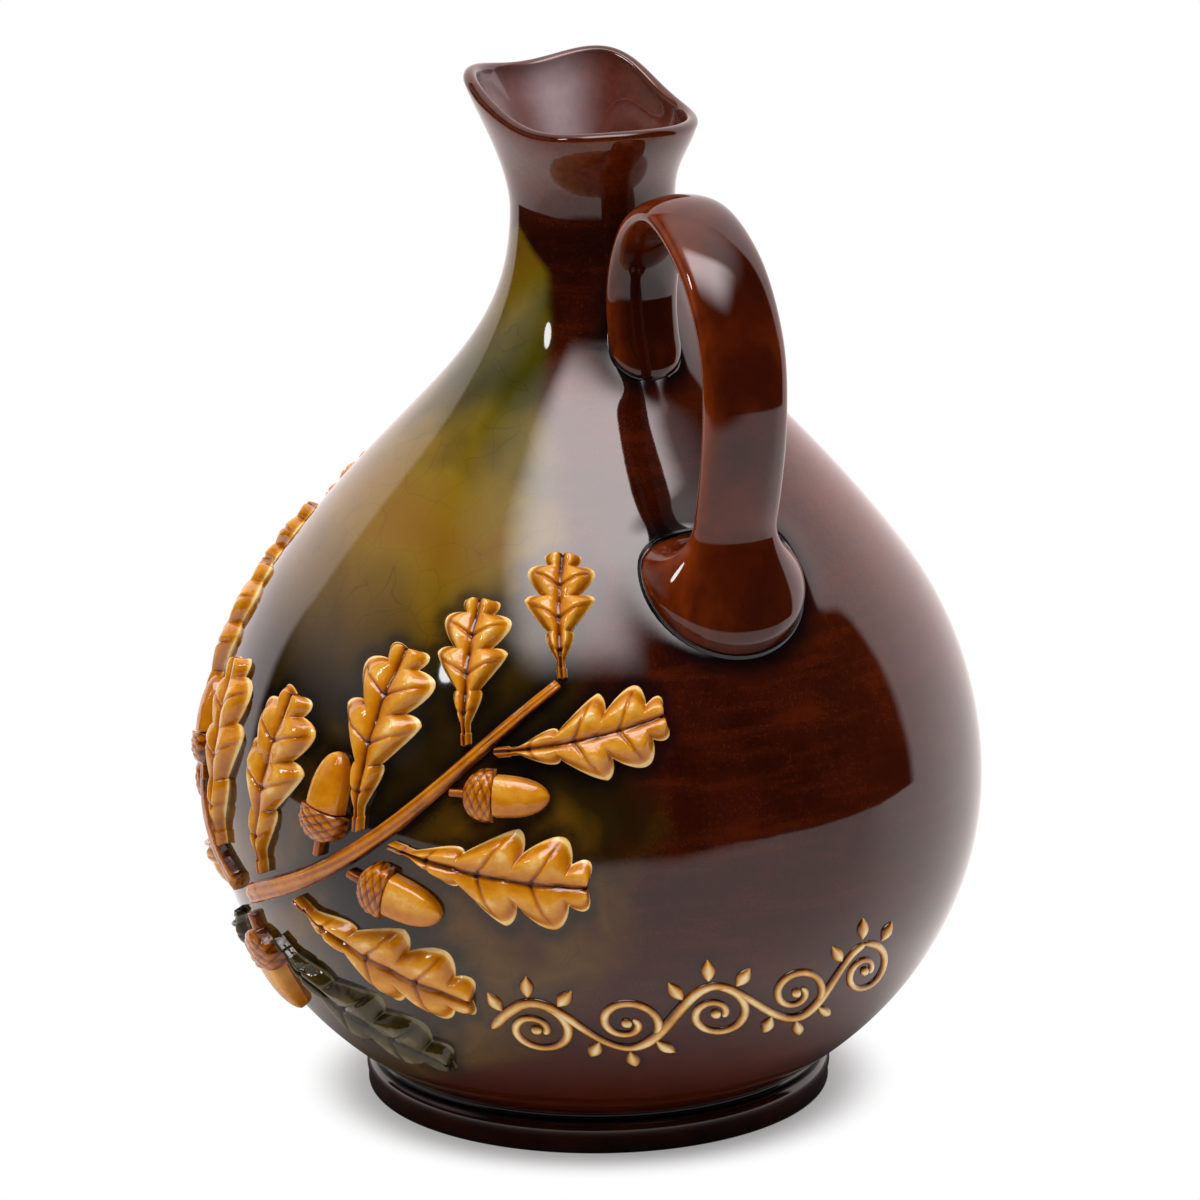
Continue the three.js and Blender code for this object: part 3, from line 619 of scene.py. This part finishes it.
def sprig(spot, rows, columns, line, half, rise, sweep=0.0, melt=0.8):
    """Rings of a pressed piece: a crowned face from its left edge to its right, v from 1 to -1, and a
    back inside the wall. The face is half(t) wide on each side of line(t) for t from 0 to 1, its edges
    are swept ahead, and from the share melt of its width outwards it melts into the wall in an even
    step. Gives the rings, t as a column, and the v round each ring as a row."""
    t, v = np.linspace(0, 1, rows), across(columns)
    ahead, left = line(t)
    step = np.subtract(line(t + 0.005), line(t - 0.005))
    run_ahead, run_left = unit(step.T).T[..., None]
    reach = half(t)[:, None]
    sunk = smooth(np.abs(v), melt, 1)
    face_lift = (rise(t[:, None], v) + clearance) * (1 - sunk) - edge_depth * sunk
    side = np.hstack((-reach - skirt * 0.2, 0 * reach, reach + skirt * 0.2, reach + skirt, reach * v,
                      -reach - skirt))
    back, edge = np.full_like(reach, -back_depth), np.full_like(reach, -edge_depth)
    lift = np.hstack((back, back, back, edge, face_lift, edge))
    forward = sweep * np.abs(side)
    angle, length, _ = moved(spot, ahead[:, None] + run_ahead * forward - run_left * side,
                             left[:, None] + run_left * forward + run_ahead * side)
    return on_wall(angle, length, lift), t[:, None], np.concatenate(([-1, 0, 1, 1], v, [-1]))


stalk_share, rib_width, rib_depth, vein_width, vein_depth = 0.08, 0.42 * mm, 0.75 * mm, 0.38 * mm, 0.4 * mm


def leaf_rings(spot, length, width, bend):
    """An oak leaf with round lobes and narrow bays. The half width is an envelope, widest past the
    middle, times lobes that are a power of a sine. The face is highest halfway to the edge, with a
    furrow along the midrib and one along each lobe. Gives rings and the share of light glaze."""

    def share(t):
        return np.clip((t - stalk_share) / (1 - stalk_share), 0, 1)

    def lobes(t):
        return np.abs(np.sin(np.pi * leaf_lobes * share(t)))

    def half(t):
        u = share(t)
        envelope = np.minimum(1, 2.2 * u) * np.sqrt(1 - u**3) * (0.72 + 0.4 * u)
        stalk = np.where(t < stalk_share, leaf_stalk / 2, 0.4 * leaf_stalk)
        return np.maximum(stalk, width / 2 * envelope * (0.52 + 0.48 * lobes(t) ** 0.7))

    def furrows(t, v):
        away = np.abs(v) * half(t)
        centre_of_lobe = (np.floor(share(t) * leaf_lobes) + 0.5) / leaf_lobes
        along = (share(t) - centre_of_lobe) * (1 - stalk_share) * length
        vein = bell(along, vein_width) * (1 - smooth(np.abs(v), 0.55, 0.95)) * (share(t) > 0)
        return bell(away, rib_width), vein

    def rise(t, v):
        crown = (0.78 + 0.22 * smooth(np.abs(v), 0, 0.4)) * (0.78 + 0.22 * lobes(t))
        rib, vein = furrows(t, v)
        height = 0.3 * leaf_edge + (leaf_rise - 0.3 * leaf_edge) * crown
        furrow = rib_depth * rib * (share(t) > 0) + vein_depth * vein
        return (height - furrow) * (0.75 + 0.25 * np.sin(np.pi * t))

    rings, t, v = sprig(spot, 150, 41, lambda t: (length * t, bend * t * t), half, rise, leaf_sweep, 0.42)
    aside = np.abs(v)
    rib, vein = furrows(t, v)
    light = 0.5 + 0.26 * smooth(aside, 0, 0.4) + 0.12 * lobes(t) - 0.5 * rib - 0.4 * vein
    light = light - 0.28 * smooth(aside, 0.45, 0.75) + 0.5 * smooth(aside, 0.76, 0.88)
    return rings, np.clip(light - smooth(aside, 0.9, 0.98), 0, 1)


def stem_line(length, bend):
    """A stem's line: straight ahead with half a sine wave to the left."""
    return lambda t: (length * t, bend * np.sin(np.pi * t))


def stem_half(t):
    """Half a stem's width, which shrinks steadily to its tip."""
    return stem_width / 2 * (1 - stem_taper * np.clip(t, 0, 1))


def stem_rings(spot, length, bend):
    """A tapering rod half sunk in the wall: half an ellipse across, with furrows that wind along it as
    a sine of both places."""

    def rise(t, v):
        bark = bark_depth * np.sin(9 * v + 14 * t)
        return stem_edge + (stem_rise * (1 - 0.35 * t) - stem_edge) * dome(v) + bark * dome(v)

    rings, t, v = sprig(spot, 90, 17, stem_line(length, bend), stem_half, rise)
    return rings, 0.5 + 0.16 * np.sin(9 * v + 14 * t) - 0.4 * smooth(np.abs(v), 0.5, 1)


def cup_rings(spot, size):
    """An acorn's cup on its short stalk: half a dome with scales pressed into it, which are the product
    of two slanting sines, so their rows cross."""
    stalk, length = 0.2 * size, cup_share * size

    def share(t):
        return (t * length - stalk) / (length - stalk)

    def half(t):
        u = share(t)
        cup = size * np.maximum(0.06, 0.385 * dome(1 - np.clip(1.5 * u, 0, 1)))
        return np.where(u <= 0, 0.06 * size, cup)

    def scales(t, v):
        u = share(t)
        turn = np.arcsin(np.clip(v, -1, 1))
        net = np.abs(np.sin(11 * u + 5 * turn) * np.sin(11 * u - 5 * turn)) ** 0.4
        return np.where(u > 0.12, 2 * net - 1, 0)

    def rise(t, v):
        u = share(t)
        full = np.where(u <= 0, 0, dome(1 - np.clip(1.5 * u, 0, 1)))
        crown = stalk_rise + (cup_rise - 0.25 * mm - stalk_rise) * full
        return acorn_edge + (crown - acorn_edge) * dome(v) + scale_depth * scales(t, v) * full * dome(v)

    rings, t, v = sprig(spot, 70, 33, lambda t: (length * t, 0 * t), half, rise)
    return rings, np.clip(0.34 + 0.24 * scales(t, v) - 0.2 * smooth(np.abs(v), 0.7, 1), 0, 1)


def nut_rings(spot, size):
    """An acorn's nut: a dome across and along, which narrows as a quarter circle to a small point."""

    def half(t):
        return 0.31 * size * np.maximum(0.15, dome(0.08 + 0.92 * np.clip(t, 0, 1) ** 1.4))

    def rise(t, v):
        crown = nut_tip + (nut_rise - nut_tip) * dome(t**1.4)
        return np.minimum(acorn_edge, crown) + (crown - np.minimum(acorn_edge, crown)) * dome(v)

    rings, t, v = sprig(spot, 60, 29, lambda t: (nut_share * size * t, 0 * t), half, rise)
    # The nut's share of light glaze carries a painted highlight along one side of its middle, and falls
    # towards its sides and its tip
    return rings, np.clip(0.78 - 0.2 * np.abs(v) ** 3 + 0.1 * np.sin(3 * v) - 0.15 * t, 0, 1)


def clay_glaze(name, stops):
    """Clear lead glaze over a coloured clay, IOR about 1.55: a ramp from its furrows to its edges, read
    from each point's share of light glaze and shifted by clouds 5 mm wide. Soft tool marks 4 mm wide
    break up its bright shine."""
    material, tree, here = new_material(name)
    light = add(tree, "Attribute", attribute_name="light").outputs["Fac"]
    cloud = add(tree, "TexNoise", {0: here, "Scale": 210, "Detail": 4, "Roughness": 0.6})
    shifted = add(tree, "Math", {0: cloud, 1: 0.7, 2: light}, operation="MULTIPLY_ADD")
    shifted = add(tree, "Math", {0: shifted, 1: 0.35}, operation="SUBTRACT")
    colour = add(tree, "ValToRGB", {0: shifted}, stops=stops)
    tooled = add(tree, "TexNoise", {0: here, "Scale": 240, "Detail": 3})
    bump = add(tree, "Bump", {"Height": tooled, "Distance": 0.0007, "Strength": 0.6})
    shader = add(tree, "BsdfPrincipled", {"Base Color": colour, "Roughness": 0.05, "IOR": glaze_ior,
                                          "Normal": bump})
    add(tree, "OutputMaterial", {0: shader})
    return material


golden = "golden_glaze", clay_glaze("clear_glaze_over_golden_clay", (
    (0.02, "#341002"), (0.20, "#743606"), (0.42, "#a85d06"), (0.66, "#c47a0b"), (0.86, "#d8982f"),
    (0.98, "#ecca84")))


def press(name, made, glaze):
    """Puts a sprig's rings into the scene in a glaze, given as a slot, which is not used, and a material,
    and thickens the body's glaze round its foot."""
    rings, light = made
    piece(name, [rings], *glaze, [name], light=[light])
    pool_near(rings[:, (3, -1)].reshape(-1, 3), 1.5 * mm, 0.7)


def acorn(name, spot, size):
    """A cup with its nut set a clearance beyond it."""
    press(f"{name}_cup", cup_rings(spot, size), golden)
    press(f"{name}_nut", nut_rings(moved(spot, cup_share * size + clearance, 0), size), golden)


branch_length = np.pi / 2 * belly_radius - pad_width / 2 - 20 * mm
branch_bend, spray_z = -0.1, 47 * mm
# Each leaf's share of the stem, its side, its turn in degrees, and its length, width and bend as shares of
# the stem's length, then each acorn's share of the stem, side, turn and size
leaves = (
    (0.10, 1, 66, 0.44, 0.30, -0.04), (0.18, -1, -51, 0.48, 0.295, 0.04), (0.47, 1, 52, 0.43, 0.28, -0.04),
    (0.53, -1, -53, 0.47, 0.30, 0.04), (0.79, 1, 46, 0.34, 0.22, -0.03), (0.84, -1, -48, 0.38, 0.26, 0.04),
    (1.01, 0, 42, 0.30, 0.21, -0.03),
)
acorns = ((0.33, 1, 50, 0.18), (0.39, -1, -49, 0.18), (0.72, -1, -50, 0.165))


def on_stem(spot, hand, along, side, turn):
    """A spot beside the stem at a share of its length, headed away from it by a turn in degrees."""
    slope = np.degrees(np.arctan(np.pi * branch_bend * np.cos(np.pi * along)))
    ahead, left = stem_line(branch_length, branch_bend * branch_length)(along)
    beside = side * (stem_half(along) + sprig_gap)
    return moved(spot, ahead, hand * (left + beside), hand * (slope + turn))


for name, hand, degrees, heading in (("right_branch", 1, -87, 39), ("left_branch", -1, -93, 141)):
    spot = place(degrees, spray_z, heading)
    press(name, stem_rings(spot, branch_length, hand * branch_bend * branch_length), golden)
    for number, (along, side_of, turn_by, *sizes) in enumerate(leaves, 1):
        length, width, bend = (size * branch_length for size in sizes)
        made = leaf_rings(on_stem(spot, hand, along, side_of, turn_by), length, width, hand * bend)
        press(f"{name}_leaf_{number}", made, golden)
    for number, (along, side_of, turn_by, size) in enumerate(acorns, 1):
        acorn(f"{name}_acorn_{number}", on_stem(spot, hand, along, side_of, turn_by), size * branch_length)
acorn("middle_acorn", place(-90, spray_z - 5 * mm, -90), 0.2 * branch_length)


# FALLEN LEAVES. Two leaves of dark umber clay under the spray, pressed from the same mould and
# glazed with the brown glaze itself, so they show by their shine more than by their colour.
umber = "umber_glaze", clay_glaze("treacle_glaze_over_umber_clay", (
    (0.02, "#0c0a05"), (0.35, "#231b0a"), (0.62, "#38300f"), (0.80, "#4a3a12"), (0.97, "#6a6446")))
for name, degrees, heading, hand in (("fallen_leaf_1", -83, -41, 1), ("fallen_leaf_2", -97, 221, -1)):
    made = leaf_rings(place(degrees, spray_z - 7 * mm, heading), 0.48 * branch_length, 0.3 * branch_length,
                      hand * 0.05 * branch_length)
    press(name, made, umber)


# TRAILED SCROLL. A running tendril of cream slip, squeezed from a slip trailer onto the unfired pot
# low on the handle's side: one long wave with spirals, dots and three small petals on each crest. It
# stands about 0.6 mm proud and melted into the glaze, cream on top and brown along both sides.
scroll = []
start = place(-43, 30.5 * mm, 0)
wave_length, waves, crest_height, climb, stem_slip = 32 * mm, 2.25, 6.2 * mm, 0.08, 2 * mm
spiral_turn, spiral_radii, spiral_widths = 2.7 * np.pi, (6.5 * mm, 1.5 * mm), (1.9 * mm, 1.5 * mm)
dot_half, dot_width, petal_length, petal_lift = 0.9 * mm, 2.3 * mm, 4.6 * mm, 1.3 * mm


def trail(ahead, left, width):
    """Adds a line of slip to the scroll, along points ahead and to the left of its start: half an
    ellipse across and round at both ends. Its share of light glaze falls to both sides and wavers."""
    point = np.arange(len(ahead))
    run_ahead, run_left = unit(np.column_stack((np.gradient(ahead), np.gradient(left)))).T[..., None]
    v = across(9)
    taper = dome(1 - np.clip((np.minimum(point, point[::-1]) + 0.5) / 5, 0, 1))
    half = (width / 2 * taper)[:, None]
    side = np.hstack((-half, half, half * v))
    back = np.full_like(half, -0.3 * mm)
    lift = np.hstack((back, back, 0.62 * half * dome(v) - 0.02 * mm))
    angle, length, _ = moved(start, ahead[:, None] - run_left * side, left[:, None] + run_ahead * side)
    uneven = 0.12 * np.sin(0.21 * point)[:, None]
    light = np.clip(0.82 + uneven - 0.78 * np.abs(np.concatenate(([-1, 1], v))) ** 1.7, 0, 1)
    scroll.append((on_wall(angle, length, lift), light))


def stem_height(ahead):
    """Height of the tendril's stem: a sine wave on a slight climb."""
    return crest_height * np.sin(2 * np.pi * ahead / wave_length) + climb * ahead


ahead = np.linspace(0, waves * wave_length, 190)
trail(ahead, stem_height(ahead), stem_slip + 0.25 * mm * np.sin(ahead / (4 * mm)))
for number in range(5):
    up = (-1) ** number
    crest = wave_length * (number / 2 + 0.25)
    turn = np.linspace(0, spiral_turn, 70)
    radius, width = (np.linspace(*ends, len(turn)) for ends in (spiral_radii, spiral_widths))
    middle = stem_height(crest) - up * radius[0]
    trail(crest + radius * np.sin(turn), middle + up * radius * np.cos(turn), width)
    dot = np.linspace(-dot_half, dot_half, 12)
    trail(crest + dot, middle + 0 * dot, dot_width)
    for ahead_by, turn_by in ((-5.5, 118), (-0.5, 88), (4.5, 52)):
        petal = np.linspace(0, petal_length, 22)
        lean = np.radians(up * turn_by)
        trail(crest + ahead_by * mm + petal * np.cos(lean),
              stem_height(crest + ahead_by * mm) + up * petal_lift + petal * np.sin(lean),
              (0.8 + 1.9 * np.sin(np.linspace(0, np.pi, len(petal))) ** 1.3) * mm)
slip = clay_glaze("clear_glaze_over_cream_slip", (
    (0.05, "#3c1a06"), (0.28, "#7e430c"), (0.48, "#b3731f"), (0.68, "#d3a04a"), (0.92, "#f0dba6")))
piece("trailed_scroll", [rings for rings, _ in scroll], "golden_glaze", slip,
      light=[light for _, light in scroll])
for rings, _ in scroll:
    pool_near(rings[:, 2], 1.0 * mm, 0.55)
# The body takes the glaze thickened round every piece on it, and none at its two end points
pooled = np.concatenate((pooled, [0, 0])).astype(np.float32)
body.data.attributes["pool"].data.foreach_set("value", pooled)


# STAGE. A round pale table, a white room behind and at both sides, a dark one in front that is hazy at
# the left, one large soft box overhead, a small spot at the left, and the photograph's viewpoint: 1.1 m
# away, 15 degrees above level, the handle right of the middle.
table_radius, table_sides = 570 * mm, 96
angle = np.linspace(0, 2 * np.pi, table_sides, endpoint=False)
circle = np.column_stack((np.cos(angle), np.sin(angle), 0 * angle)) * table_radius
mesh = bpy.data.meshes.new("table")
mesh.from_pydata(circle.tolist(), [], [list(range(table_sides))])
table = bpy.data.objects.new("table", mesh)
bpy.context.scene.collection.objects.link(table)

# Matt paper that takes the flask's soft shadow close to the foot and is plain white to the camera beyond
# it. To the glaze it is a glow, not lit paper: a painted shadow darkens it under the foot, it is painted
# darker far in front and brighter behind, and it is a little warmer.
paper, tree, here = new_material("pale_paper")
ray = add(tree, "LightPath").outputs
away = add(tree, "VectorMath", {0: here}, operation="LENGTH")
nearer = add(tree, "VectorMath", {0: here, 1: (0.9, -0.44, 0)}, operation="DOT_PRODUCT")
past_shadow = add(tree, "MapRange", {0: away, 1: 0.042, 2: 0.056, 3: 0.3, 4: 1.0}, **eased)
seen = add(tree, "Math", {0: ray["Is Camera Ray"], 1: past_shadow}, operation="MULTIPLY")
for mirrored in ("Is Glossy Ray", "Is Transmission Ray"):
    seen = add(tree, "Math", {0: seen, 1: ray[mirrored]}, operation="ADD", use_clamp=True)
painted_mirror_glow = 1.0
for value, start, end, low, high in (
    (away, 0.042, 0.095, 0.02, 1.0), (nearer, 0.0, 0.10, 1.24, 0.9), (nearer, 0.33, 0.55, 1.0, 0.05),
):
    shade = add(tree, "MapRange", {0: value, 1: start, 2: end, 3: low, 4: high}, **eased)
    painted_mirror_glow = add(tree, "Math", {0: shade, 1: painted_mirror_glow}, operation="MULTIPLY")
strength = add(tree, "Mix", {0: ray["Is Camera Ray"], 2: painted_mirror_glow, 3: 1.0})
tint = add(tree, "Mix", {0: ray["Is Camera Ray"], 6: linear("#fff6f4"), 7: linear("#ffffff")},
           data_type="RGBA")
matt = add(tree, "BsdfDiffuse", {0: linear("#f4f3f1")})
white = add(tree, "Emission", {0: tint, 1: strength})
mixed = add(tree, "MixShader", {0: seen, 1: matt, 2: white})
add(tree, "OutputMaterial", {0: mixed})
table.data.materials.append(paper)

# The room by direction: walls and haze by azimuth from the handle, a ceiling by height, and the overhead
# box as the glaze mirrors it, placed by how far a ray goes right and nearer for each unit that it climbs.
# The camera itself sees plain white.
eye, target = np.array((0.955, -0.4658, 0.3848)), np.array((0, 0, 0.0912))
world = bpy.data.worlds.new("studio")
bpy.context.scene.world = world
world.use_nodes = True
tree = world.node_tree
tree.nodes.clear()
ray = add(tree, "LightPath").outputs
direction = add(tree, "TexCoord").outputs["Generated"]
level = add(tree, "SeparateXYZ", {0: direction}).outputs["Z"]
front, left, right, nearer = (
    add(tree, "VectorMath", {0: direction, 1: (np.cos(az), np.sin(az), 0)}, operation="DOT_PRODUCT")
    for az in np.radians((-35, -125, 64, -26))
)
right, nearer = (add(tree, "Math", {0: side, 1: level}, operation="DIVIDE") for side in (right, nearer))
walls, left, haze, ceiling = (
    add(tree, "MapRange", {0: value, 1: start, 2: end, 3: low, 4: high}, **eased)
    for value, start, end, low, high in (
        (front, -0.39, -0.46, 0.015, 1.28), (left, 0.62, 0.92, 0.0, 1.0),
        (level, 0.10, 0.42, 0.0, 0.6), (level, 0.70, 0.95, 0.0, 1.4))
)
haze = add(tree, "Math", {0: haze, 1: left}, operation="MULTIPLY")
box = ray["Is Glossy Ray"]
for value, start, end, low, high in (
    (right, -0.60, -0.28, 0.0, 1.0), (right, 0.30, 0.85, 1.0, 0.0),
    (nearer, 0.02, 0.22, 0.0, 8.6), (nearer, 0.35, 1.05, 1.0, 0.0), (level, 0.3, 0.4, 0.0, 1.0),
):
    side = add(tree, "MapRange", {0: value, 1: start, 2: end, 3: low, 4: high}, **eased)
    box = add(tree, "Math", {0: side, 1: box}, operation="MULTIPLY")
glow = walls
for light in (haze, ceiling, box):
    glow = add(tree, "Math", {0: light, 1: glow}, operation="MAXIMUM")
room = add(tree, "Background", {0: linear("#fff3f3"), 1: glow})
white = add(tree, "Background", {0: linear("#ffffff"), 1: 1.0})
mixed = add(tree, "MixShader", {0: ray["Is Camera Ray"], 1: room, 2: white})
add(tree, "OutputWorld", {0: mixed})


def aimed(made, place_at, aim_at):
    """Puts an object at a place with its -Z axis towards another and its Y axis as upright as it goes."""
    back = unit(place_at - aim_at)
    right = unit(np.cross((0, 0, 1), back))
    axes = np.column_stack((right, np.cross(back, right), back, place_at))
    made.matrix_world = Matrix([*axes.tolist(), (0, 0, 0, 1)])
    bpy.context.scene.collection.objects.link(made)


def soft_box(name, azimuth, elevation, distance, width, depth, radiance, mirrored):
    """A lamp that faces the flask's middle, at an azimuth from the camera's. Its power is pi times width
    times depth times radiance. One that is mirrored is an ellipse, and one that isn't is a rectangle
    whose reflection the room gives."""
    az, el = np.arctan2(eye[1], eye[0]) + np.radians(azimuth), np.radians(elevation)
    data = bpy.data.lights.new(name, "AREA")
    data.shape, data.size, data.size_y = "ELLIPSE" if mirrored else "RECTANGLE", width, depth
    data.energy = np.pi * width * depth * radiance
    middle = np.array((0, 0, 120 * mm))
    spot = middle + distance * np.array((np.cos(el) * np.cos(az), np.cos(el) * np.sin(az), np.sin(el)))
    lamp = bpy.data.objects.new(name, data)
    lamp.visible_glossy = mirrored
    aimed(lamp, spot, middle)


soft_box("overhead_box", -3, 69, 0.9, 0.95, 0.42, 6.5, mirrored=False)
soft_box("spot", -55, 38, 1.0, 0.11, 0.19, 13.0, mirrored=True)

camera_data = bpy.data.cameras.new("camera")
camera_data.lens, camera_data.sensor_width, camera_data.shift_x = 182.0, 36.0, 0.004
camera = bpy.data.objects.new("camera", camera_data)
aimed(camera, eye, target)
bpy.context.view_layer.update()
camera.rotation_euler.rotate_axis("Z", np.radians(-0.4))
bpy.context.scene.camera = camera
bpy.context.scene.view_settings.view_transform = "Standard"
